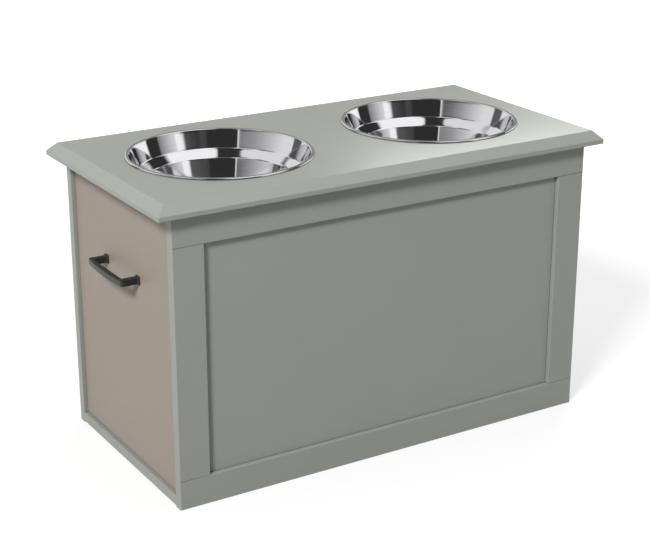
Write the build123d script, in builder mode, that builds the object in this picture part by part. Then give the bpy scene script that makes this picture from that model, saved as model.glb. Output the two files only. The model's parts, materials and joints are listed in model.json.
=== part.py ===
from build123d import *
from math import radians, sqrt, tan
import os

# Raised dog feeder: a framed cabinet, two steel bowls hung in its top, and a storage drawer in its end.
# Millimetres. X runs along the cabinet, with the drawer at its left end, -X. The front faces -Y, +Z is up.
# The origin is the centre of the footprint, on the floor.

os.makedirs("parts", exist_ok=True)

# ---------------------------------------------------------------- driving dimensions
# Cabinet boards
body_length = 560.0
body_depth = 284.0
body_height = 346.0  # floor to the underside of the tabletop
board_thickness = 12.0
top_rail_height = 36.0
bottom_rail_height = 35.0
stile_width = 38.0
edge_ease = 0.6  # chamfer on the visible arrises

# Panels, held in a groove round each frame
panel_thickness = 4.0
panel_recess = 6.0  # frame's outer face to panel's outer face
groove_depth = 6.0
groove_clearance = 0.1  # each side of the panel
panel_end_clearance = 0.5  # panel's edge to the bottom of its groove

# Bottom board and end panel
bottom_board_lift = 1.0
end_recess = 4.5  # ends of the frames to the faces of the drawer front and the end panel

# Tabletop
top_thickness = 16.0
end_overhang = 20.0
side_overhang = 12.0
bevel_size = 10.5
top_edge_radius = 0.8

# Bowls, spun from one sheet, with a rolled rim and a shoulder
bowl_spacing = 294.0
bowl_rim_radius = 110.0
bowl_rim_width = 4.4
bowl_rim_height = 2.5
bowl_shoulder_radius = 97.5  # inside, at the top of the sloped shoulder
bowl_shoulder_depth = 20.5
bowl_waist_radius = 88.0  # inside, at the foot of the sloped shoulder
bowl_waist_depth = 29.5
bowl_base_radius = 77.0
bowl_depth = 62.5  # tabletop to the inside of the base
bowl_steel = 0.8
bowl_base_fillet = 12.0
bowl_shoulder_fillet = 5.0
bowl_rim_inner_fillet = 1.8
bowl_rim_outer_fillet = 2.2
cutout_clearance = 0.5

# Dowels of the frames and the tabletop
dowel_radius = 3.0
dowel_length = 24.0
dowel_clearance = 0.05
dowel_ease = 0.6
frame_dowel_spacing = 16.0
top_dowel_spacing = 180.0

# Cam fittings: a threaded bolt in one board, a turning cam in the other
cam_radius = 6.0
cam_depth = 9.5
cam_clearance = 0.05
cam_reach = 24.0  # board's edge to the cam's centre
cam_slot_width = 1.2
cam_slot_length = 8.0
cam_slot_depth = 1.5
bolt_radius = 2.2
bolt_head_radius = 2.6
bolt_head_length = 3.0
bolt_neck_radius = 1.5
bolt_neck_length = 3.0
bolt_thread_length = 8.0
bolt_bore_clearance = 0.3  # round the bolt's head
long_bolt_spacing = 360.0  # along the tabletop and the bottom board
end_bolt_inset = 70.0  # from the ends of the end panel

# Drawer
drawer_gap = 2.0  # round the drawer front
drawer_top_gap = 3.0
drawer_end_space = 60.0  # cabinet's length less the drawer's and its runners'
drawer_side_height = 240.0
drawer_bottom_thickness = 4.0
drawer_bottom_height = 9.0  # drawer side's lower edge to its groove
drawer_groove_depth = 5.0
drawer_bolt_inset = 45.0
drawer_extension = 0.75  # the part of its length that the drawer travels

# Roller runners, one pair of pressed steel rails on each side
runner_gap = 12.7  # cabinet's inner face to the drawer's side
runner_steel = 1.2
runner_bend = 0.6
runner_lift = 1.5  # bottom board to the channel
channel_height = 20.0
channel_width = 9.8
channel_front_gap = 2.0  # drawer front to the channel
roller_radius = 8.0
roller_width = 5.4
roller_clearance = 0.1
roller_ease = 0.6
rail_flange_clearance = 0.3  # channel to the drawer rail above it
rail_wrap = 12.0  # under the drawer's side
rail_drop = 16.3  # rail's top to the drawer side's lower edge
rail_flange_inset = 2.5  # cabinet's face to the edge of the rail's upper flange
front_roller_inset = 10.0
rear_roller_inset = 12.0
front_roller_offset = 3.0  # cabinet's face to the roller
rear_roller_offset = 3.3  # drawer's side to the roller
stop_height = 3.0  # the tab that ends the drawer's travel, above the channel's lower flange
stop_clearance = 0.5
rivet_radius = 2.0
rivet_clearance = 0.05
rivet_shoulder_radius = 3.2
rivet_head_radius = 3.6
rivet_head_length = 0.7

# Screws
screw_radius = 1.75
screw_length = 10.0
screw_head_radius = 3.3
screw_head_height = 1.6
screw_hole_clearance = 0.05
screw_inset = 35.0  # from the runner's ends
channel_screw_height = 10.0
back_screw_radius = 1.75
back_screw_length = 30.0
back_screw_head_radius = 3.5
back_screw_inset = 40.0
countersink_angle = 82.0
handle_screw_radius = 2.0
handle_screw_bite = 8.0
handle_screw_head_radius = 4.0
handle_screw_head_height = 2.4

# Handle
handle_height = 244.0  # floor to the bar's centre
handle_centres = 85.0
handle_projection = 22.5  # drawer front to the outside of the bar, at its ends
handle_bow = 3.0  # of the bar's outer face; its inner face is straight
handle_bar_height = 7.5
handle_bar_thickness = 3.5  # at the bar's ends
handle_leg_width = 8.0
handle_foot_size = 9.5
handle_foot_thickness = 1.2
handle_foot_flare = 3.0
handle_outer_radius = 3.5
handle_inner_radius = 2.0
handle_ease = 1.2

# ---------------------------------------------------------------- sizes worked out from them
SIDES = {"front": -1, "back": 1}
ENDS = {"left": -1, "right": 1}
OUTWARD = {"front": Axis((0, 0, 0), (0, -1, 0)), "back": Axis.Y}
STANDING = (Align.CENTER, Align.CENTER, Align.MIN)
HANGING = (Align.CENTER, Align.CENTER, Align.MAX)

half_body = body_length / 2
frame_inner_y = body_depth / 2 - board_thickness
frame_mid_y = body_depth / 2 - board_thickness / 2
stile_bottom = bottom_rail_height
stile_top = body_height - top_rail_height
opening_length = body_length - 2 * stile_width
opening_height = stile_top - stile_bottom
panel_mid_y = body_depth / 2 - panel_recess - panel_thickness / 2
panel_mid_z = (stile_bottom + stile_top) / 2
panel_slot = panel_thickness + 2 * groove_clearance

bottom_board_top = bottom_board_lift + board_thickness
bottom_board_mid_z = bottom_board_lift + board_thickness / 2
end_panel_mid_x = half_body - end_recess - board_thickness / 2
table_z = body_height + top_thickness
cutout_radius = bowl_rim_radius - bowl_rim_width + bowl_steel + cutout_clearance

front_face_x = -half_body + end_recess  # drawer front's outer face
box_front_x = front_face_x + board_thickness  # drawer front's inner face, where the drawer box starts
drawer_length = body_length - drawer_end_space
channel_length = drawer_length
drawer_travel = drawer_extension * drawer_length
box_back_x = box_front_x + drawer_length
side_outer_y = frame_inner_y - runner_gap
side_inner_y = side_outer_y - board_thickness

channel_z = bottom_board_top + runner_lift
channel_front_x = box_front_x + channel_front_gap
front_roller_x = channel_front_x + front_roller_inset
rear_roller_x = box_back_x - rear_roller_inset
rear_roller_z = channel_z + runner_steel + roller_clearance + roller_radius
roller_reach = sqrt(roller_radius**2 - (roller_radius - stop_height) ** 2)  # at the height of the stop
stop_x = rear_roller_x - drawer_travel - roller_reach - stop_clearance - runner_steel / 2
rail_top_z = channel_z + channel_height + rail_flange_clearance + runner_steel
front_roller_z = rail_top_z - runner_steel - roller_clearance - roller_radius
side_bottom_z = rail_top_z - rail_drop
side_top_z = side_bottom_z + drawer_side_height
drawer_floor_mid_z = side_bottom_z + drawer_bottom_height + drawer_bottom_thickness / 2
drawer_floor_slot = drawer_bottom_thickness + 2 * groove_clearance
drawer_inner_length = drawer_length - board_thickness
drawer_inner_mid_x = box_front_x + drawer_inner_length / 2


# ---------------------------------------------------------------- shared cuts
def drill(planes, radius, depth):
    """Blind holes in the current part, from each plane's origin against its z direction."""
    with Locations(*planes):
        Hole(radius, depth)


def bore_dowel_holes(planes):
    """Holes for dowels that are centred on these planes."""
    with Locations(*planes):
        Cylinder(dowel_radius + dowel_clearance, dowel_length, mode=Mode.SUBTRACT)


def cut_panel_groove(side):
    """The part of a frame's panel groove that lies in the current board."""
    with Locations((0, side * panel_mid_y, panel_mid_z)):
        Box(
            opening_length + 2 * groove_depth,
            panel_slot,
            opening_height + 2 * groove_depth,
            mode=Mode.SUBTRACT,
        )


def cut_drawer_floor_groove():
    """The part of the drawer floor's groove that lies in the current board."""
    with Locations((drawer_inner_mid_x, 0, drawer_floor_mid_z)):
        Box(
            drawer_inner_length + 2 * drawer_groove_depth,
            2 * (side_inner_y + drawer_groove_depth),
            drawer_floor_slot,
            mode=Mode.SUBTRACT,
        )


def bore_bolt_threads(planes):
    """Holes for the threads of cam bolts, in the board that the bolts are screwed into."""
    drill([Plane(origin=bolt.origin, z_dir=bolt.z_dir) for bolt in planes], bolt_radius, bolt_thread_length)


def cam_planes(bolts, face_direction):
    """Where the cams of these bolts show, on the board's face that looks in the direction given."""
    face = Vector(*face_direction)
    return [
        Plane(
            origin=bolt.origin + bolt.z_dir * cam_reach + face * (board_thickness / 2),
            x_dir=bolt.z_dir * -1,
            z_dir=face,
        )
        for bolt in bolts
    ]


def bore_cam_pockets(bolts, face_direction):
    """Pockets for the cams and bores for the bolts, in the board that the cams sit in."""
    drill(cam_planes(bolts, face_direction), cam_radius + cam_clearance, cam_depth)
    drill(
        [Plane(origin=bolt.origin, z_dir=bolt.z_dir * -1) for bolt in bolts],
        bolt_head_radius + bolt_bore_clearance,
        cam_reach,
    )


# ---------------------------------------------------------------- where the joints are
# A dowel's plane is centred on it. A bolt's plane lies on the board that holds its thread, z along the bolt.
def frame_dowel_planes(side, end, joint_z):
    """The two dowels between a stile and the rail that it meets at this height."""
    stile_x = end * (half_body - stile_width / 2)
    return [
        Plane(origin=(stile_x + step * frame_dowel_spacing / 2, side * frame_mid_y, joint_z))
        for step in (-1, 1)
    ]


def top_dowel_planes(side):
    """The dowels between a top rail and the tabletop."""
    return [Plane(origin=(end * top_dowel_spacing / 2, side * frame_mid_y, body_height)) for end in (-1, 1)]


def top_bolt_planes(side):
    """The bolts from the tabletop down into a top rail."""
    return [
        Plane(origin=(end * long_bolt_spacing / 2, side * frame_mid_y, body_height), z_dir=(0, 0, -1))
        for end in (-1, 1)
    ]


def bottom_bolt_planes(side):
    """The bolts from a bottom rail into the bottom board."""
    return [
        Plane(
            origin=(end * long_bolt_spacing / 2, side * frame_inner_y, bottom_board_mid_z),
            z_dir=(0, -side, 0),
        )
        for end in (-1, 1)
    ]


def end_bolt_planes(side):
    """The bolts from a right stile into the end panel."""
    return [
        Plane(origin=(end_panel_mid_x, side * frame_inner_y, height), z_dir=(0, -side, 0))
        for height in (bottom_board_top + end_bolt_inset, body_height - end_bolt_inset)
    ]


def drawer_bolt_planes(side):
    """The bolts from the drawer front into a drawer side."""
    return [
        Plane(origin=(box_front_x, side * (side_outer_y - board_thickness / 2), height), z_dir=(1, 0, 0))
        for height in (side_bottom_z + drawer_bolt_inset, side_top_z - drawer_bolt_inset)
    ]


def back_screw_planes(side):
    """The countersunk screws through a drawer side into the drawer back, z out of the side's face."""
    return [
        Plane(origin=(box_back_x - board_thickness / 2, side * side_outer_y, height), z_dir=(0, side, 0))
        for height in (side_bottom_z + back_screw_inset, side_top_z - back_screw_inset)
    ]


def runner_screw_xs(start, length):
    """Screw places along a runner: near both ends, and in the middle."""
    return (start + screw_inset, start + length / 2, start + length - screw_inset)


def channel_screw_planes(side):
    """The screws through a runner channel into the bottom rail, z towards the drawer."""
    return [
        Plane(
            origin=(x, side * (frame_inner_y - runner_steel), channel_z + channel_screw_height),
            z_dir=(0, -side, 0),
        )
        for x in runner_screw_xs(channel_front_x, channel_length)
    ]


def rail_screw_planes(side):
    """The screws up through a drawer rail into the drawer side's lower edge."""
    return [
        Plane(
            origin=(x, side * (side_outer_y - board_thickness / 2), side_bottom_z - runner_steel),
            z_dir=(0, 0, -1),
        )
        for x in runner_screw_xs(box_front_x, drawer_length)
    ]


def front_rivet_plane(side):
    """The rivet that carries a channel's roller, z from the bottom rail towards the drawer."""
    return Plane(
        origin=(front_roller_x, side * frame_inner_y, front_roller_z),
        z_dir=(0, -side, 0),
    )


def rear_rivet_plane(side):
    """The rivet that carries a drawer rail's roller, z from the drawer's side towards the channel."""
    return Plane(
        origin=(rear_roller_x, side * side_outer_y, rear_roller_z),
        z_dir=(0, side, 0),
    )


handle_screw_planes = [
    Plane(origin=(box_front_x, end * handle_centres / 2, handle_height), z_dir=(1, 0, 0)) for end in (-1, 1)
]


# ---------------------------------------------------------------- front and back frames
for side_name, side in SIDES.items():
    with BuildPart() as bottom_rail:
        with Locations((0, side * frame_mid_y, bottom_rail_height / 2)):
            Box(body_length, board_thickness, bottom_rail_height)
        chamfer(bottom_rail.faces().sort_by(OUTWARD[side_name])[-1].edges(), edge_ease)
        cut_panel_groove(side)
        for end in ENDS.values():
            bore_dowel_holes(frame_dowel_planes(side, end, stile_bottom))
        bore_bolt_threads(bottom_bolt_planes(side))
        drill(
            [screw.offset(-runner_steel) for screw in channel_screw_planes(side)],
            screw_radius + screw_hole_clearance,
            screw_length - runner_steel,
        )
    bottom_rail.part.label = f"{side_name}_bottom_rail"
    export_step(bottom_rail.part, f"parts/{side_name}_bottom_rail.step")

    with BuildPart() as top_rail:
        with Locations((0, side * frame_mid_y, body_height - top_rail_height / 2)):
            Box(body_length, board_thickness, top_rail_height)
        chamfer(top_rail.faces().sort_by(OUTWARD[side_name])[-1].edges(), edge_ease)
        cut_panel_groove(side)
        for end in ENDS.values():
            bore_dowel_holes(frame_dowel_planes(side, end, stile_top))
        bore_dowel_holes(top_dowel_planes(side))
        bore_cam_pockets(top_bolt_planes(side), (0, -side, 0))
    top_rail.part.label = f"{side_name}_top_rail"
    export_step(top_rail.part, f"parts/{side_name}_top_rail.step")

    for end_name, end in ENDS.items():
        with BuildPart() as stile:
            with Locations((end * (half_body - stile_width / 2), side * frame_mid_y, panel_mid_z)):
                Box(stile_width, board_thickness, opening_height)
            chamfer(stile.faces().sort_by(OUTWARD[side_name])[-1].edges(), edge_ease)
            cut_panel_groove(side)
            bore_dowel_holes(frame_dowel_planes(side, end, stile_bottom))
            bore_dowel_holes(frame_dowel_planes(side, end, stile_top))
            if end_name == "right":
                bore_bolt_threads(end_bolt_planes(side))
        stile.part.label = f"{side_name}_{end_name}_stile"
        export_step(stile.part, f"parts/{side_name}_{end_name}_stile.step")

    with BuildPart() as panel:
        with Locations((0, side * panel_mid_y, panel_mid_z)):
            Box(
                opening_length + 2 * (groove_depth - panel_end_clearance),
                panel_thickness,
                opening_height + 2 * (groove_depth - panel_end_clearance),
            )
    panel.part.label = f"{side_name}_panel"
    export_step(panel.part, f"parts/{side_name}_panel.step")


# ---------------------------------------------------------------- bottom board, end panel and tabletop
with BuildPart() as bottom_board:
    with Locations((0, 0, bottom_board_mid_z)):
        Box(body_length, 2 * frame_inner_y, board_thickness)
    chamfer(bottom_board.edges().filter_by(Axis.Y), edge_ease)
    for side in SIDES.values():
        bore_cam_pockets(bottom_bolt_planes(side), (0, 0, -1))
bottom_board.part.label = "bottom_board"
export_step(bottom_board.part, "parts/bottom_board.step")

with BuildPart() as end_panel:
    with Locations((end_panel_mid_x, 0, (bottom_board_top + body_height) / 2)):
        Box(board_thickness, 2 * frame_inner_y, body_height - bottom_board_top)
    for side in SIDES.values():
        bore_cam_pockets(end_bolt_planes(side), (-1, 0, 0))
end_panel.part.label = "end_panel"
export_step(end_panel.part, "parts/end_panel.step")

with BuildPart() as tabletop:
    with Locations((0, 0, body_height + top_thickness / 2)):
        Box(body_length + 2 * end_overhang, body_depth + 2 * side_overhang, top_thickness)
    chamfer(tabletop.faces().sort_by(Axis.Z)[-1].edges(), bevel_size)
    fillet(tabletop.edges(), top_edge_radius)
    with Locations((-bowl_spacing / 2, 0, table_z), (bowl_spacing / 2, 0, table_z)):
        Hole(cutout_radius)
    for side in SIDES.values():
        bore_dowel_holes(top_dowel_planes(side))
        bore_bolt_threads(top_bolt_planes(side))
tabletop.part.label = "tabletop"
export_step(tabletop.part, "parts/tabletop.step")


# ---------------------------------------------------------------- bowls
for end_name, end in ENDS.items():
    bowl_x = end * bowl_spacing / 2
    rim_inner_radius = bowl_rim_radius - bowl_rim_width
    with BuildPart() as bowl:
        with BuildSketch(Plane(origin=(bowl_x, 0, table_z), x_dir=(1, 0, 0), z_dir=(0, -1, 0))):
            with BuildLine():
                FilletPolyline(
                    (0, -bowl_depth),
                    (bowl_base_radius, -bowl_depth),
                    (bowl_waist_radius, -bowl_waist_depth),
                    (bowl_shoulder_radius, -bowl_shoulder_depth),
                    (rim_inner_radius, bowl_rim_height),
                    (bowl_rim_radius, bowl_rim_height),
                    (bowl_rim_radius, 0),
                    radius=[
                        bowl_base_fillet,
                        bowl_shoulder_fillet,
                        bowl_shoulder_fillet,
                        bowl_rim_inner_fillet,
                        bowl_rim_outer_fillet,
                    ],
                )
                offset(amount=bowl_steel, side=Side.RIGHT)
            make_face()
        revolve(axis=Axis((bowl_x, 0, 0), (0, 0, 1)))
    bowl.part.label = f"bowl_{end_name}"
    export_step(bowl.part, f"parts/bowl_{end_name}.step")


# ---------------------------------------------------------------- drawer
with BuildPart() as drawer_front:
    front_bottom = bottom_board_top + drawer_gap
    front_top = body_height - drawer_top_gap
    with Locations((front_face_x + board_thickness / 2, 0, (front_bottom + front_top) / 2)):
        Box(board_thickness, 2 * (frame_inner_y - drawer_gap), front_top - front_bottom)
    chamfer(drawer_front.faces().sort_by(Axis.X)[0].edges(), edge_ease)
    cut_drawer_floor_groove()
    for side in SIDES.values():
        bore_bolt_threads(drawer_bolt_planes(side))
    drill(handle_screw_planes, handle_screw_radius + screw_hole_clearance, board_thickness)
drawer_front.part.label = "drawer_front"
export_step(drawer_front.part, "parts/drawer_front.step")

for side_name, side in SIDES.items():
    with BuildPart() as drawer_side:
        with Locations(
            (
                (box_front_x + box_back_x) / 2,
                side * (side_outer_y + side_inner_y) / 2,
                (side_bottom_z + side_top_z) / 2,
            )
        ):
            Box(drawer_length, board_thickness, drawer_side_height)
        # The lower outer arris is eased to clear the bend of the rail that wraps it.
        wrapped_edges = drawer_side.faces().sort_by(OUTWARD[side_name])[-1].edges()
        chamfer(wrapped_edges.sort_by(Axis.Z)[0], runner_bend + edge_ease)
        cut_drawer_floor_groove()
        bore_cam_pockets(drawer_bolt_planes(side), (0, -side, 0))
        drill(
            [screw.offset(-runner_steel) for screw in rail_screw_planes(side)],
            screw_radius + screw_hole_clearance,
            screw_length - runner_steel,
        )
        with Locations(*back_screw_planes(side)):
            CounterSinkHole(
                back_screw_radius + screw_hole_clearance,
                back_screw_head_radius,
                counter_sink_angle=countersink_angle,
            )
    drawer_side.part.label = f"drawer_side_{side_name}"
    export_step(drawer_side.part, f"parts/drawer_side_{side_name}.step")

with BuildPart() as drawer_back:
    with Locations((box_back_x - board_thickness / 2, 0, (side_bottom_z + side_top_z) / 2)):
        Box(board_thickness, 2 * side_inner_y, drawer_side_height)
    cut_drawer_floor_groove()
    for side in SIDES.values():
        drill(back_screw_planes(side), back_screw_radius + screw_hole_clearance, back_screw_length)
drawer_back.part.label = "drawer_back"
export_step(drawer_back.part, "parts/drawer_back.step")

with BuildPart() as drawer_floor:
    floor_inset = drawer_groove_depth - panel_end_clearance
    with Locations((drawer_inner_mid_x, 0, drawer_floor_mid_z)):
        Box(
            drawer_inner_length + 2 * floor_inset,
            2 * (side_inner_y + floor_inset),
            drawer_bottom_thickness,
        )
drawer_floor.part.label = "drawer_floor"
export_step(drawer_floor.part, "parts/drawer_floor.step")


# ---------------------------------------------------------------- handle
handle_half = handle_centres / 2
leg_half = handle_leg_width / 2
bar_inner = handle_projection - handle_bar_thickness
with BuildPart() as handle:
    # Seen from above: x along the drawer front, y out from it.
    with BuildSketch(
        Plane(
            origin=(front_face_x, 0, handle_height - handle_bar_height / 2),
            x_dir=(0, 1, 0),
            z_dir=(0, 0, 1),
        )
    ):
        with BuildLine():
            ThreePointArc(
                (-handle_half - leg_half, handle_projection),
                (0, handle_projection + handle_bow),
                (handle_half + leg_half, handle_projection),
            )
            Line((handle_half + leg_half, handle_projection), (handle_half + leg_half, 0))
            Line((handle_half + leg_half, 0), (handle_half - leg_half, 0))
            Line((handle_half - leg_half, 0), (handle_half - leg_half, bar_inner))
            Line((handle_half - leg_half, bar_inner), (-handle_half + leg_half, bar_inner))
            Line((-handle_half + leg_half, bar_inner), (-handle_half + leg_half, 0))
            Line((-handle_half + leg_half, 0), (-handle_half - leg_half, 0))
            Line((-handle_half - leg_half, 0), (-handle_half - leg_half, handle_projection))
        make_face()
    extrude(amount=handle_bar_height)
    upright = handle.edges().filter_by(Axis.Z)
    fillet(upright.group_by(Axis.X)[0], handle_outer_radius)
    fillet(handle.edges().filter_by(Axis.Z).group_by(Axis.X)[-2], handle_inner_radius)
    fillet(handle.faces().sort_by(Axis.X)[0].edges(), handle_ease)
    for end in ENDS.values():
        foot_plane = Plane(
            origin=(front_face_x, end * handle_half, handle_height),
            x_dir=(0, 1, 0),
            z_dir=(-1, 0, 0),
        )
        with BuildSketch(foot_plane):
            Rectangle(handle_foot_size, handle_foot_size)
        extrude(amount=handle_foot_thickness)
        with BuildSketch(foot_plane.offset(handle_foot_thickness)):
            Rectangle(handle_foot_size, handle_foot_size)
        with BuildSketch(foot_plane.offset(handle_foot_flare)):
            Rectangle(handle_leg_width, handle_bar_height)
        loft()
    drill(
        [screw.offset(-board_thickness) for screw in handle_screw_planes],
        handle_screw_radius + screw_hole_clearance,
        handle_screw_bite,
    )
handle.part.label = "drawer_handle"
export_step(handle.part, "parts/drawer_handle.step")


# ---------------------------------------------------------------- roller runners
# A rail's section is drawn on a plane across the cabinet: x is Y, y is up. It is bent from one strip.
def across(x):
    """The plane across the cabinet at this place along it."""
    return Plane.YZ.offset(x)


for side_name, side in SIDES.items():
    inner_skin = Side.LEFT if side > 0 else Side.RIGHT
    outer_skin = Side.RIGHT if side > 0 else Side.LEFT

    # A channel on the bottom rail. Its upper flange stops short of the roller at its front.
    with BuildPart() as channel:
        face_y = side * frame_inner_y
        flange_y = side * (frame_inner_y - channel_width)
        with BuildSketch(across(channel_front_x)):
            with BuildLine():
                FilletPolyline(
                    (flange_y, channel_z),
                    (face_y, channel_z),
                    (face_y, channel_z + channel_height),
                    (flange_y, channel_z + channel_height),
                    radius=runner_steel + runner_bend,
                )
                offset(amount=runner_steel, side=inner_skin)
            make_face()
        extrude(amount=channel_length)
        roller_bay = 2 * front_roller_inset
        with Locations(
            (
                channel_front_x + roller_bay / 2,
                side * (frame_inner_y - channel_width / 2 - runner_steel - runner_bend),
                channel_z + channel_height - runner_steel / 2,
            )
        ):
            Box(roller_bay, channel_width, runner_steel + 2 * runner_bend, mode=Mode.SUBTRACT)
        with Locations(
            (
                stop_x,
                side * (frame_inner_y - channel_width / 2),
                channel_z + runner_steel / 2 + stop_height / 2,
            )
        ):
            Box(runner_steel, channel_width - 2 * runner_steel, runner_steel + stop_height)
        drill(channel_screw_planes(side), screw_radius + screw_hole_clearance, runner_steel)
        drill(
            [front_rivet_plane(side).offset(runner_steel)],
            rivet_radius + rivet_clearance,
            runner_steel,
        )
    channel.part.label = f"runner_channel_{side_name}"
    export_step(channel.part, f"parts/runner_channel_{side_name}.step")

    # A rail that the drawer stands on. Its upper flange rides on the roller at the channel's front.
    with BuildPart() as rail:
        web_y = side * side_outer_y
        outer_y = side * (frame_inner_y - rail_flange_inset)
        under_y = side * (side_outer_y - rail_wrap)
        with BuildSketch(across(box_front_x)):
            with BuildLine():
                FilletPolyline(
                    (outer_y, rail_top_z - runner_steel),
                    (web_y + side * runner_steel, rail_top_z - runner_steel),
                    (web_y + side * runner_steel, side_bottom_z - runner_steel),
                    (under_y, side_bottom_z - runner_steel),
                    radius=[runner_bend, runner_bend + runner_steel],
                )
                offset(amount=runner_steel, side=outer_skin)
            make_face()
        extrude(amount=drawer_length)
        drill(
            rail_screw_planes(side),
            screw_radius + screw_hole_clearance,
            runner_steel,
        )
        drill(
            [rear_rivet_plane(side).offset(runner_steel)],
            rivet_radius + rivet_clearance,
            runner_steel,
        )
    rail.part.label = f"drawer_rail_{side_name}"
    export_step(rail.part, f"parts/drawer_rail_{side_name}.step")

    for place, rivet_plane, roller_offset in (
        ("channel", front_rivet_plane(side), front_roller_offset),
        ("rail", rear_rivet_plane(side), rear_roller_offset),
    ):
        with BuildPart() as roller:
            with Locations(rivet_plane.offset(roller_offset)):
                Cylinder(roller_radius, roller_width, align=STANDING)
            chamfer(roller.edges().filter_by(GeomType.CIRCLE), roller_ease)
            drill(
                [rivet_plane.offset(roller_offset + roller_width)],
                rivet_radius + rivet_clearance,
                roller_width,
            )
        roller.part.label = f"{place}_roller_{side_name}"
        export_step(roller.part, f"parts/{place}_roller_{side_name}.step")


# ---------------------------------------------------------------- fasteners
# Each is turned about its own z, with z = 0 on the face that its plane lies on.
def turned(points):
    """A solid of revolution about z, from the points of its half section, (radius, height)."""
    with BuildPart() as solid:
        with BuildSketch(Plane.XZ):
            with BuildLine():
                Polyline(*points, close=True)
            make_face()
        revolve(axis=Axis.Z)
    return solid.part


def rivet(roller_offset):
    """A shouldered rivet, from the outside of its rail to past its roller."""
    shoulder_end = roller_offset - roller_clearance
    head_start = roller_offset + roller_width + roller_clearance
    return turned(
        [
            (0, 0),
            (rivet_radius, 0),
            (rivet_radius, runner_steel),
            (rivet_shoulder_radius, runner_steel),
            (rivet_shoulder_radius, shoulder_end),
            (rivet_radius, shoulder_end),
            (rivet_radius, head_start),
            (rivet_head_radius, head_start),
            (rivet_head_radius, head_start + rivet_head_length),
            (0, head_start + rivet_head_length),
        ]
    )


def pan_screw(radius, length, head_radius, head_height):
    """A pan-headed screw, its shank down from z = 0 and its head above."""
    tip = radius / 2
    return turned(
        [
            (0, -length),
            (radius - tip, -length),
            (radius, -length + tip),
            (radius, 0),
            (head_radius, 0),
            (head_radius, head_height / 2),
            (head_radius - head_height / 2, head_height),
            (0, head_height),
        ]
    )


tip = back_screw_radius / 2
head_drop = (back_screw_head_radius - back_screw_radius) / tan(radians(countersink_angle / 2))
countersunk_screw = turned(
    [
        (0, -back_screw_length),
        (back_screw_radius - tip, -back_screw_length),
        (back_screw_radius, -back_screw_length + tip),
        (back_screw_radius, -head_drop),
        (back_screw_head_radius - screw_hole_clearance, 0),
        (0, 0),
    ]
)

neck_start = cam_reach - bolt_head_length / 2 - bolt_neck_length
head_start = neck_start + bolt_neck_length
cam_bolt = turned(
    [
        (0, -bolt_thread_length),
        (bolt_radius, -bolt_thread_length),
        (bolt_radius, neck_start),
        (bolt_neck_radius, neck_start),
        (bolt_neck_radius, head_start),
        (bolt_head_radius, head_start),
        (bolt_head_radius, head_start + bolt_head_length),
        (0, head_start + bolt_head_length),
    ]
)

# The cam's face is at z = 0, and its mouth opens along x, towards the bolt.
with BuildPart() as cam_lock:
    Cylinder(cam_radius, cam_depth, align=HANGING)
    mouth_start = bolt_head_length / 2 + bolt_bore_clearance
    with Locations(Plane(origin=(-mouth_start, 0, -board_thickness / 2), x_dir=(0, 1, 0), z_dir=(1, 0, 0))):
        Cylinder(
            bolt_head_radius + bolt_bore_clearance,
            mouth_start + cam_radius,
            align=STANDING,
            mode=Mode.SUBTRACT,
        )
    Box(cam_slot_length, cam_slot_width, cam_slot_depth, align=HANGING, mode=Mode.SUBTRACT)

with BuildPart() as dowel:
    Cylinder(dowel_radius, dowel_length)
    chamfer(dowel.edges().filter_by(GeomType.CIRCLE), dowel_ease)

# Identical fasteners of one body share a file, as separate solids.
with BuildPart() as frame_dowels:
    for side in SIDES.values():
        for end in ENDS.values():
            with Locations(*frame_dowel_planes(side, end, stile_bottom)):
                add(dowel.part)
            with Locations(*frame_dowel_planes(side, end, stile_top)):
                add(dowel.part)
frame_dowels.part.label = "frame_dowels"
export_step(frame_dowels.part, "parts/frame_dowels.step")

with BuildPart() as top_dowels:
    for side in SIDES.values():
        with Locations(*top_dowel_planes(side)):
            add(dowel.part)
top_dowels.part.label = "top_dowels"
export_step(top_dowels.part, "parts/top_dowels.step")

with BuildPart() as cabinet_bolts:
    for side in SIDES.values():
        with Locations(*top_bolt_planes(side), *bottom_bolt_planes(side), *end_bolt_planes(side)):
            add(cam_bolt)
cabinet_bolts.part.label = "cabinet_cam_bolts"
export_step(cabinet_bolts.part, "parts/cabinet_cam_bolts.step")

with BuildPart() as cabinet_cams:
    for side in SIDES.values():
        with Locations(
            *cam_planes(top_bolt_planes(side), (0, -side, 0)),
            *cam_planes(bottom_bolt_planes(side), (0, 0, -1)),
            *cam_planes(end_bolt_planes(side), (-1, 0, 0)),
        ):
            add(cam_lock.part)
cabinet_cams.part.label = "cabinet_cam_locks"
export_step(cabinet_cams.part, "parts/cabinet_cam_locks.step")

with BuildPart() as drawer_bolts:
    for side in SIDES.values():
        with Locations(*drawer_bolt_planes(side)):
            add(cam_bolt)
drawer_bolts.part.label = "drawer_cam_bolts"
export_step(drawer_bolts.part, "parts/drawer_cam_bolts.step")

with BuildPart() as drawer_cams:
    for side in SIDES.values():
        with Locations(*cam_planes(drawer_bolt_planes(side), (0, -side, 0))):
            add(cam_lock.part)
drawer_cams.part.label = "drawer_cam_locks"
export_step(drawer_cams.part, "parts/drawer_cam_locks.step")

with BuildPart() as back_screws:
    for side in SIDES.values():
        with Locations(*back_screw_planes(side)):
            add(countersunk_screw)
back_screws.part.label = "drawer_back_screws"
export_step(back_screws.part, "parts/drawer_back_screws.step")

runner_screw = pan_screw(screw_radius, screw_length, screw_head_radius, screw_head_height)
with BuildPart() as channel_screws:
    for side in SIDES.values():
        with Locations(*channel_screw_planes(side)):
            add(runner_screw)
channel_screws.part.label = "channel_screws"
export_step(channel_screws.part, "parts/channel_screws.step")

with BuildPart() as rail_screws:
    for side in SIDES.values():
        with Locations(*rail_screw_planes(side)):
            add(runner_screw)
rail_screws.part.label = "rail_screws"
export_step(rail_screws.part, "parts/rail_screws.step")

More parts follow.
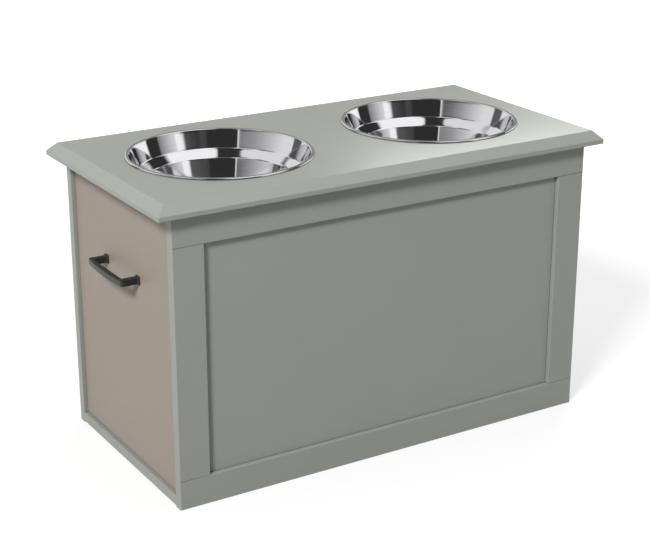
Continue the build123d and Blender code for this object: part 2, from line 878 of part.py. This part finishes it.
with BuildPart() as handle_screws:
    with Locations(*handle_screw_planes):
        add(
            pan_screw(
                handle_screw_radius,
                board_thickness + handle_screw_bite,
                handle_screw_head_radius,
                handle_screw_head_height,
            )
        )
handle_screws.part.label = "handle_screws"
export_step(handle_screws.part, "parts/handle_screws.step")

with BuildPart() as channel_rivets:
    with Locations(*[front_rivet_plane(side) for side in SIDES.values()]):
        add(rivet(front_roller_offset))
channel_rivets.part.label = "channel_rivets"
export_step(channel_rivets.part, "parts/channel_rivets.step")

with BuildPart() as rail_rivets:
    with Locations(*[rear_rivet_plane(side) for side in SIDES.values()]):
        add(rivet(rear_roller_offset))
rail_rivets.part.label = "rail_rivets"
export_step(rail_rivets.part, "parts/rail_rivets.step")
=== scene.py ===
import json
import math

import bmesh
import bpy
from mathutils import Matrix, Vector


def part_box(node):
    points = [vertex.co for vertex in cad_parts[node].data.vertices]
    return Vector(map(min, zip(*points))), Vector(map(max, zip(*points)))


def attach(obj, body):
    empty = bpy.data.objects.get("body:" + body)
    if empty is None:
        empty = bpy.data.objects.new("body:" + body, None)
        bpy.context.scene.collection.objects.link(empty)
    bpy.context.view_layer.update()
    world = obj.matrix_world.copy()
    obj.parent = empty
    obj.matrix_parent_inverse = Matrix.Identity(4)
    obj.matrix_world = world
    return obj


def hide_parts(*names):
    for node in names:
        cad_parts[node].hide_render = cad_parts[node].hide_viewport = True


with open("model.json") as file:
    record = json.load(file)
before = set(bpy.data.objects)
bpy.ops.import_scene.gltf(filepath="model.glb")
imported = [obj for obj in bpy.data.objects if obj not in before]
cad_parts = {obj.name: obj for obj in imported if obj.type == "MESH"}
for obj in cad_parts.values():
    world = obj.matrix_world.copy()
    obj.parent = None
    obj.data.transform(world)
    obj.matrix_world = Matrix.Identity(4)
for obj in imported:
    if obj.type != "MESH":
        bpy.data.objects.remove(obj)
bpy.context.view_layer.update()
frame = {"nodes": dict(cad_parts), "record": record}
nodes = frame["nodes"]
scene = bpy.context.scene
MM = 0.001

# ---------------------------------------------------------------- camera
# The photo's verticals are parallel, which takes a large lens shift. This camera has no shift: it is the
# nearest one to the photo's that looks straight at the object.
CAMERA_AT = (-0.951, -1.554, 0.849)
CAMERA_TURN = math.radians(31.34)  # to the right of the front's normal
CAMERA_TILT = math.radians(20.06)  # below the horizon
CAMERA_LENS = 86.5  # mm
SENSOR_WIDTH = 36  # mm
CLIP_END = 50

camera = bpy.data.objects.new("camera", bpy.data.cameras.new("camera"))
scene.collection.objects.link(camera)
camera.data.sensor_width = SENSOR_WIDTH
camera.data.lens = CAMERA_LENS
camera.data.clip_end = CLIP_END
camera.location = CAMERA_AT
camera.rotation_euler = (math.pi / 2 - CAMERA_TILT, 0, -CAMERA_TURN)
scene.camera = camera
scene.view_settings.view_transform = "Standard"


# ---------------------------------------------------------------- nodes
def plug(tree, socket, value):
    """Links the socket to another one, or gives it a value."""
    if isinstance(value, bpy.types.NodeSocket):
        tree.links.new(value, socket)
    elif value is not None:
        socket.default_value = value


def add_node(tree, kind, *inputs, **settings):
    """A new node, with its inputs in order and its properties or further inputs by name."""
    made = tree.nodes.new(kind)
    for key, value in settings.items():
        if hasattr(made, key):
            setattr(made, key, value)
        else:
            plug(tree, made.inputs[key.replace("_", " ")], value)
    for socket, value in zip(made.inputs, inputs):
        plug(tree, socket, value)
    return made


def calculate(tree, operation, *inputs):
    return add_node(tree, "ShaderNodeMath", *inputs, operation=operation).outputs[0]


def ramp(tree, value, start, end, low=0.0, high=1.0):
    """Maps start to end onto low to high, and holds the value at either end."""
    return add_node(tree, "ShaderNodeMapRange", value, start, end, low, high).outputs["Result"]


# ---------------------------------------------------------------- materials
def srgb(red, green, blue):
    """A linear colour from 8-bit sRGB values."""
    return tuple(
        (c / 255 / 12.92) if c / 255 <= 0.04045 else ((c / 255 + 0.055) / 1.055) ** 2.4
        for c in (red, green, blue)
    ) + (1.0,)


def shade(colour, factor):
    return tuple(c * factor for c in colour[:3]) + (1.0,)


AO_SAMPLES = 8
CLOSED, OPEN = 0.4, 0.9  # ambient occlusion down in a seam and on an open face


class Material:
    """A node material with one Principled shader, built up by short calls."""

    def __init__(self, name, **sockets):
        self.material = bpy.data.materials.new(name)
        self.material.use_nodes = True
        self.tree = self.material.node_tree
        self.shader = self.tree.nodes["Principled BSDF"]
        self.give(**sockets)

    def give(self, **sockets):
        """Sets or links sockets of the shader."""
        for name, value in sockets.items():
            plug(self.tree, self.shader.inputs[name.replace("_", " ")], value)

    def node(self, kind, *inputs, **settings):
        return add_node(self.tree, kind, *inputs, **settings)

    def place(self, scale=(1, 1, 1)):
        """Object coordinates, stretched."""
        where = self.node("ShaderNodeTexCoord").outputs["Object"]
        return self.node("ShaderNodeMapping", where, Scale=scale).outputs["Vector"]

    def noise(self, vector, scale=1.0, detail=2.0, roughness=0.5):
        made = self.node("ShaderNodeTexNoise", Vector=vector, Scale=scale, Detail=detail, Roughness=roughness)
        return made.outputs["Fac"]

    def spread(self, value, low, high):
        """Maps a 0 to 1 value onto low to high."""
        return ramp(self.tree, value, 0.0, 1.0, low, high)

    def blend_colours(self, factor, first, second):
        made = self.node("ShaderNodeMix", data_type="RGBA", Factor=factor)
        for name, value in (("A", first), ("B", second)):
            plug(self.tree, next(s for s in made.inputs if s.name == name and s.type == "RGBA"), value)
        return next(s for s in made.outputs if s.type == "RGBA")

    def tones(self, factor, colour, darkest, lightest):
        return self.blend_colours(factor, shade(colour, darkest), shade(colour, lightest))

    def open_air(self, reach):
        """1 on an open face, and less down in a seam or close to whatever stands on the face: the mask for
        painted shade.
        """
        occlusion = self.node("ShaderNodeAmbientOcclusion", samples=AO_SAMPLES, Distance=reach)
        return ramp(self.tree, occlusion.outputs["AO"], CLOSED, OPEN)

    def bump(self, height, distance):
        made = self.node("ShaderNodeBump", Strength=1.0, Distance=distance, Height=height)
        self.give(Normal=made.outputs["Normal"])


SEAM_REACH = 1.3 * MM  # how far from a seam the shade in it reaches
SEAM_SHADE = 0.25


def lacquer(name, colour, roughness, gloss):
    """Sprayed lacquer on fibreboard: a faint orange peel, and a little unevenness in colour and gloss."""
    made = Material(name, Roughness=roughness, Specular_IOR_Level=gloss)
    vector = made.place()
    coat = made.tones(made.noise(vector, scale=9.0, detail=3.0), colour, darkest=0.97, lightest=1.03)
    # painted shade: the lacquer is darkened down in seams, in inner corners and round whatever stands on it,
    # such as the bowls' rims
    made.give(Base_Color=made.blend_colours(made.open_air(SEAM_REACH), shade(colour, SEAM_SHADE), coat))
    patches = made.noise(vector, scale=60.0, detail=3.0)
    made.give(Roughness=made.spread(patches, roughness - 0.04, roughness + 0.04))
    made.bump(made.noise(vector, scale=420.0, detail=3.0), distance=0.04 * MM)
    return made.material


def enamel(name, colour, roughness, grain, depth):
    """A baked coat on metal, or moulded nylon: one even colour, a fine texture and slightly uneven gloss."""
    made = Material(name)
    vector = made.place()
    made.give(Base_Color=made.tones(made.noise(vector, scale=40.0), colour, darkest=0.94, lightest=1.04))
    fine = made.noise(vector, scale=grain, detail=3.0)
    made.give(Roughness=made.spread(fine, roughness - 0.06, roughness + 0.06))
    made.bump(fine, distance=depth)
    return made.material


def plated(name, colour):
    """Zinc plate: soft spangle in its colour, and fine unevenness in its gloss."""
    made = Material(name, Metallic=1.0)
    vector = made.place()
    made.give(Base_Color=made.tones(made.noise(vector, scale=300.0), colour, darkest=0.85, lightest=1.08))
    made.give(Roughness=made.spread(made.noise(vector, scale=900.0, detail=4.0), 0.24, 0.5))
    return made.material


def dowel_wood(name, colour):
    """Beech along its grain, with short darker flecks."""
    made = Material(name, Roughness=0.7)
    grain = made.noise(made.place(scale=(900, 900, 60)), detail=3.0)
    fleck = made.noise(made.place(scale=(2500, 2500, 250)), detail=1.0)
    tone = calculate(made.tree, "MULTIPLY", grain, fleck)
    made.give(Base_Color=made.tones(tone, colour, darkest=0.72, lightest=1.1))
    made.bump(fleck, distance=0.05 * MM)
    return made.material


def faced_board(name, colour):
    """Hardboard with a printed facing: a faint open grain pressed into a flat colour."""
    made = Material(name, Roughness=0.6)
    grain = made.noise(made.place(scale=(8, 420, 420)), detail=4.0)
    made.give(Base_Color=made.tones(grain, colour, darkest=0.9, lightest=1.04))
    made.bump(grain, distance=0.03 * MM)
    return made.material


RIM_FROM = 104.5 * MM  # radius where the polished wall ends and the duller rolled rim, its colour painted darker as shade, starts
RIM_EDGE = 1 * MM
RIM_DULLNESS = 0.1  # added roughness
RIM_SHADE = 0.8
RIM_FOOT = 3 * MM  # how far up the rim's foot the shade of the tabletop reaches
RIM_FOOT_SHADE = 0.15
LINE_STRETCH = (0.5, 0.5, 600.0)  # noise drawn out round the bowl and packed close along its wall
LINE_ROUGHNESS = 0.02, 0.10


def turned_steel(name, colour):
    """Polished steel with fine lines round the bowl's axis, which smear a reflection across them."""
    made = Material(name, Metallic=1.0, Anisotropic=0.8, Anisotropic_Rotation=0.25)
    where = made.node("ShaderNodeTexCoord").outputs["Object"]
    flat = made.node("ShaderNodeVectorMath", where, (1, 1, 0), operation="MULTIPLY").outputs["Vector"]
    radius = made.node("ShaderNodeVectorMath", flat, operation="LENGTH").outputs["Value"]
    compass = made.node("ShaderNodeVectorMath", flat, operation="NORMALIZE").outputs["Vector"]
    turned = made.node("ShaderNodeSeparateXYZ", compass).outputs
    height = made.node("ShaderNodeSeparateXYZ", where).outputs["Z"]
    along = calculate(made.tree, "ADD", radius, height)
    vector = made.node("ShaderNodeCombineXYZ", turned["X"], turned["Y"], along).outputs["Vector"]
    stretched = made.node("ShaderNodeMapping", vector, Scale=LINE_STRETCH).outputs["Vector"]
    lines = made.noise(stretched, detail=6.0, roughness=0.75)
    rolled = ramp(made.tree, radius, RIM_FROM, RIM_FROM + RIM_EDGE)
    smooth = made.spread(lines, *LINE_ROUGHNESS)
    made.give(Roughness=calculate(made.tree, "MULTIPLY_ADD", rolled, RIM_DULLNESS, smooth))
    polished = made.tones(lines, colour, darkest=0.86, lightest=1.1)
    # painted shade: the rolled rim's colour is darkened to RIM_SHADE of the polished steel's
    rim_shaded_colour = made.blend_colours(rolled, polished, shade(colour, RIM_SHADE))
    # painted shade: the steel is darkened at the rim's foot, where it meets the tabletop
    made.give(Base_Color=made.blend_colours(made.open_air(RIM_FOOT), shade(colour, RIM_FOOT_SHADE), rim_shaded_colour))
    made.bump(lines, distance=0.005 * MM)
    made.give(Tangent=made.node("ShaderNodeTangent", direction_type="RADIAL", axis="Z").outputs["Tangent"])
    return made.material


SAGE = srgb(152, 155, 148)
TAUPE = srgb(156, 146, 135)
ENAMEL = srgb(221, 220, 214)
NYLON = srgb(229, 227, 219)
ZINC = srgb(190, 190, 187)
BEECH = srgb(205, 171, 131)
BLACK = srgb(27, 27, 26)
STEEL = (0.72, 0.715, 0.735, 1.0)

finishes = {
    "sage_paint": lacquer("sage_paint", SAGE, roughness=0.36, gloss=0.25),
    "taupe_paint": lacquer("taupe_paint", TAUPE, roughness=0.5, gloss=0.2),
    "bowl_steel": turned_steel("bowl_steel", STEEL),
    "black_metal": enamel("black_metal", BLACK, roughness=0.42, grain=1500.0, depth=0.03 * MM),
    "runner_enamel": enamel("runner_enamel", ENAMEL, roughness=0.35, grain=700.0, depth=0.02 * MM),
    "nylon": enamel("nylon", NYLON, roughness=0.5, grain=500.0, depth=0.02 * MM),
    "zinc_steel": plated("zinc_steel", ZINC),
    "beech": dowel_wood("beech", BEECH),
    "hardboard": faced_board("hardboard", TAUPE),
}
for part in frame["record"]["subparts"]:
    mesh = nodes[part["node"]].data
    mesh.materials.clear()
    mesh.materials.append(finishes[part["material_slot"]])


# ---------------------------------------------------------------- bowls
# The bowls' inner skin, from the middle of the base to the rim's outer edge: radius, height above the
# tabletop, and the radius of the rounded corner, in mm. Turned here with far more segments than the CAD
# node's mesh has.
BOWL_STEEL = 0.8 * MM
BOWL_PROFILE = (
    (0, -62.5, 0),
    (77, -62.5, 12),
    (88, -29.5, 5),
    (97.5, -20.5, 5),
    (105.6, 2.5, 1.8),
    (110, 2.5, 2.2),
    (110, 0, 0),
)
BOWL_SEGMENTS = 360
ARC_STEPS = 10
WALL_STEP = 3 * MM
SAME_POINT = 1e-7
ON_AXIS = 1e-9


def rounded(corners):
    """The points of a line with rounded corners, close together."""
    points = []
    for i, (x, z, radius) in enumerate(corners):
        corner = Vector((x, z)) * MM
        if not radius:
            points.append(corner)
            continue
        before = (Vector(corners[i - 1][:2]) * MM - corner).normalized()
        after = (Vector(corners[i + 1][:2]) * MM - corner).normalized()
        half = before.angle(after) / 2
        reach = radius * MM / math.tan(half)
        centre = corner + (before + after).normalized() * (radius * MM / math.sin(half))
        start = corner + before * reach - centre
        sweep = math.pi - 2 * half
        turn = math.copysign(1, start.x * after.y - start.y * after.x)
        for step in range(ARC_STEPS + 1):
            angle = turn * sweep * step / ARC_STEPS
            across = start.x * math.cos(angle) - start.y * math.sin(angle)
            up = start.x * math.sin(angle) + start.y * math.cos(angle)
            points.append(centre + Vector((across, up)))
    dense = [points[0]]
    for point in points[1:]:
        gap = (point - dense[-1]).length
        if gap < SAME_POINT:
            continue
        steps = max(1, round(gap / WALL_STEP))
        start = dense[-1]
        dense += [start.lerp(point, (k + 1) / steps) for k in range(steps)]
    return dense


def thickened(skin, thickness):
    """A closed half section: the skin, and the same line moved outwards by the thickness."""
    outer = []
    for i, point in enumerate(skin):
        along = (skin[min(i + 1, len(skin) - 1)] - skin[max(i - 1, 0)]).normalized()
        outer.append(point + Vector((along.y, -along.x)) * thickness)
    outer[0].x = 0
    return skin + outer[::-1]


def turned_mesh(name, section, segments):
    """A mesh turned about Z from a half section whose first and last points are on the axis."""
    build = bmesh.new()
    rings = []
    for point in section:
        if point.x < ON_AXIS:
            rings.append([build.verts.new((0, 0, point.y))])
            continue
        angles = [2 * math.pi * k / segments for k in range(segments)]
        ring = [(point.x * math.cos(angle), point.x * math.sin(angle), point.y) for angle in angles]
        rings.append([build.verts.new(at) for at in ring])
    for a, b in zip(rings, rings[1:]):
        for k in range(segments):
            n = (k + 1) % segments
            if len(a) == 1:
                build.faces.new((a[0], b[k], b[n]))
            elif len(b) == 1:
                build.faces.new((a[n], a[k], b[0]))
            else:
                build.faces.new((a[k], b[k], b[n], a[n]))
    mesh = bpy.data.meshes.new(name)
    build.to_mesh(mesh)
    build.free()
    mesh.shade_smooth()
    return mesh


bowl_section = thickened(rounded(BOWL_PROFILE), BOWL_STEEL)
for end in ("left", "right"):
    low, high = (Vector(c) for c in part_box(f"bowl_{end}"))
    name = f"steel_bowl_{end}"
    bowl = bpy.data.objects.new(name, turned_mesh(name, bowl_section, BOWL_SEGMENTS))
    scene.collection.objects.link(bowl)
    bowl.location = ((low.x + high.x) / 2, 0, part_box("tabletop")[1][2])
    bowl.data.materials.append(finishes["bowl_steel"])
    bpy.context.view_layer.update()
    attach(bowl, f"bowl_{end}")
    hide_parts(f"bowl_{end}")


# ---------------------------------------------------------------- studio
def light(name, at, target, size, power, sheen_on=None):
    """A soft lamp. One with sheen_on lights nothing but the gloss of that node."""
    lamp = bpy.data.lights.new(name, "AREA")
    lamp.shape = "RECTANGLE"
    lamp.size, lamp.size_y = size
    lamp.energy = power
    made = bpy.data.objects.new(name, lamp)
    scene.collection.objects.link(made)
    made.visible_camera = False
    made.visible_glossy = bool(sheen_on)  # the studio round the object gives the other reflections
    made.visible_diffuse = not sheen_on
    if sheen_on:
        made.light_linking.receiver_collection = bpy.data.collections.new(name)
        made.light_linking.receiver_collection.objects.link(nodes[sheen_on])
    made.location = at
    made.rotation_euler = (Vector(target) - Vector(at)).to_track_quat("-Z", "Y").to_euler()


MIDDLE = (0, 0, 0.2)
light("key", at=(-3.9, -2.64, 3.92), target=MIDDLE, size=(1.2, 1.2), power=325)
light("top", at=(0.2, 0.3, 2.4), target=(0, 0, 0.3), size=(2.0, 2.0), power=16)
light("fill", at=(3.2, 2.8, 1.2), target=MIDDLE, size=(1.6, 1.6), power=85)
light(
    "sheen", at=(0.41, 0.20, 0.60), target=(0.41, -0.13, 0.362), size=(0.46, 0.04), power=1.8,
    sheen_on="tabletop",
)

# What polished metal sees round it: a white studio with dark flags and dim and lit panels, which give steel
# its contrast. Where they stand, and how light each is, follows the bands in the photo's bowls; their greys
# are five plain levels. Each is set over the ones before it, by compass bearing and height in degrees
# (bearing 0 is +Y, 90 is +X, and runs clockwise), with its level at its first and last bearing and the
# width of its soft edge.
LIT, STUDIO_WALL, DIM, SHADE, FLAG = 245, 220, 140, 90, 45
PANELS = (
    # bearing    height     levels            edge
    ((-20, 65), (37, 95), (DIM, DIM), 12),  # dim ceiling behind
    ((75, 190), (37, 95), (LIT, LIT), 6),  # lit ceiling on the right
    ((17, 65), (-5, 37), (DIM, DIM), 8),  # dim wall behind
    ((65, 102), (-5, 22), (LIT, LIT), 8),  # lit wall on the right
    ((110, 147), (-5, 22), (FLAG, STUDIO_WALL), 3),  # the same wall further round, in shade
    ((104, 128), (22, 37), (SHADE, LIT), 3),
    ((146, 158), (-5, 22), (LIT, LIT), 2),  # strip light
    ((158, 204), (-5, 37), (SHADE, FLAG), 4),  # dim corner by the camera
    ((153, 180), (22, 37), (FLAG, FLAG), 4),
    ((98, 119), (-5, 22), (FLAG, FLAG), 3),  # black flag on the right, and its upper half further back
    ((70, 102), (22, 48), (FLAG, FLAG), 5),
    ((-126, -58), (-5, 22), (SHADE, STUDIO_WALL), 1),  # left wall, brighter away from the camera
    ((-126, -66), (22, 37), (SHADE, SHADE), 6),
    ((-84, -70), (37, 50), (DIM, DIM), 8),
    ((-128, -88), (37, 50), (LIT, LIT), 6),  # soft light over it
    ((-41, -24), (-5, 22), (SHADE, SHADE), 2),  # narrow flag behind
    ((-29, -21), (22, 37), (SHADE, SHADE), 4),
    ((-157, -131), (37, 50), (SHADE, SHADE), 6),  # dark flag over the camera, black higher up
    ((-162, -88), (50, 95), (FLAG, FLAG), 6),
    ((-170, -127), (-5, 37), (FLAG, FLAG), 3),  # the camera's own flag, with a gap of light beside it
    ((-127.6, -126), (-5, 37), (STUDIO_WALL, STUDIO_WALL), 0.6),
    ((-190, 190), (84, 96), (LIT, LIT), 6),  # soft light straight overhead
)
HEIGHT_EDGE = 4  # width of the soft edge over and under each, in degrees
SEEN_BY_METAL = 1.33  # strength of the studio in reflections
SOFT_LEVEL = 0.25  # strength of the even light on everything else

world = bpy.data.worlds.new("studio")
scene.world = world
world.use_nodes = True
sky = world.node_tree


def grey(level):
    return srgb(level, level, level)[0]


def inside(value, middle, half, edge):
    """1 where a value is within half of the middle, falling to 0 across the edge. Also its offset from it."""
    offset = calculate(sky, "SUBTRACT", value, middle)
    offset = calculate(sky, "WRAP", offset, 180, -180)
    away = calculate(sky, "ABSOLUTE", offset)
    return ramp(sky, away, half - edge / 2, half + edge / 2, 1, 0), offset


def degrees(value):
    return calculate(sky, "MULTIPLY", value, 180 / math.pi)


direction = add_node(sky, "ShaderNodeTexCoord").outputs["Generated"]
across, ahead, up = add_node(sky, "ShaderNodeSeparateXYZ", direction).outputs
bearing = degrees(calculate(sky, "ARCTAN2", across, ahead))
height = degrees(calculate(sky, "ARCSINE", up))
seen = grey(STUDIO_WALL)
for bearings, heights, levels, edge in PANELS:
    half_width, half_height = ((high - low) / 2 for low, high in (bearings, heights))
    beside, offset = inside(bearing, sum(bearings) / 2, half_width, edge)
    over, _ = inside(height, sum(heights) / 2, half_height, HEIGHT_EDGE)
    mask = calculate(sky, "MULTIPLY", beside, over)
    panel = ramp(sky, offset, -half_width, half_width, *(grey(level) for level in levels))
    seen = add_node(sky, "ShaderNodeMix", mask, data_type="FLOAT", A=seen, B=panel).outputs["Result"]

WHITE = (1, 1, 1, 1)
rays = add_node(sky, "ShaderNodeLightPath").outputs
soft = add_node(sky, "ShaderNodeBackground", WHITE, SOFT_LEVEL).outputs[0]
mirrored = add_node(sky, "ShaderNodeBackground", seen, SEEN_BY_METAL).outputs[0]
white = add_node(sky, "ShaderNodeBackground", WHITE, 1.0).outputs[0]
lit = add_node(sky, "ShaderNodeMixShader", rays["Is Glossy Ray"], soft, mirrored).outputs[0]
shown = add_node(sky, "ShaderNodeMixShader", rays["Is Camera Ray"], lit, white).outputs[0]
sky.links.new(shown, sky.nodes["World Output"].inputs["Surface"])

# The floor glows for what looks at it, in a mirror or through glass too, and lights nothing matt. So it is
# white and still keeps the object's shadow. The glow grows from near the object to the far floor.
FLOOR_SIZE = 8.0
FLOOR_ALBEDO = 0.4
NEAR_GLOW, NEAR = 0.62, 0.7
FAR_GLOW, FAR = 1.0, 1.6
floor_mesh = bpy.data.meshes.new("floor")
build = bmesh.new()
bmesh.ops.create_grid(build, x_segments=1, y_segments=1, size=FLOOR_SIZE)
build.to_mesh(floor_mesh)
build.free()
floor = bpy.data.objects.new("floor", floor_mesh)
scene.collection.objects.link(floor)
ground = Material(
    "floor", Roughness=1.0, Specular_IOR_Level=0.0, Emission_Color=WHITE,
    Base_Color=(FLOOR_ALBEDO, FLOOR_ALBEDO, FLOOR_ALBEDO, 1),
)
distance = ground.node("ShaderNodeVectorMath", ground.place(), operation="LENGTH").outputs["Value"]
glow = ramp(ground.tree, distance, NEAR, FAR, NEAR_GLOW, FAR_GLOW)
rays = ground.node("ShaderNodeLightPath").outputs
looked_at = rays["Is Camera Ray"]
for kind in ("Is Glossy Ray", "Is Transmission Ray"):
    looked_at = calculate(ground.tree, "MAXIMUM", looked_at, rays[kind])
ground.give(Emission_Strength=calculate(ground.tree, "MULTIPLY", glow, looked_at))
floor_mesh.materials.append(ground.material)
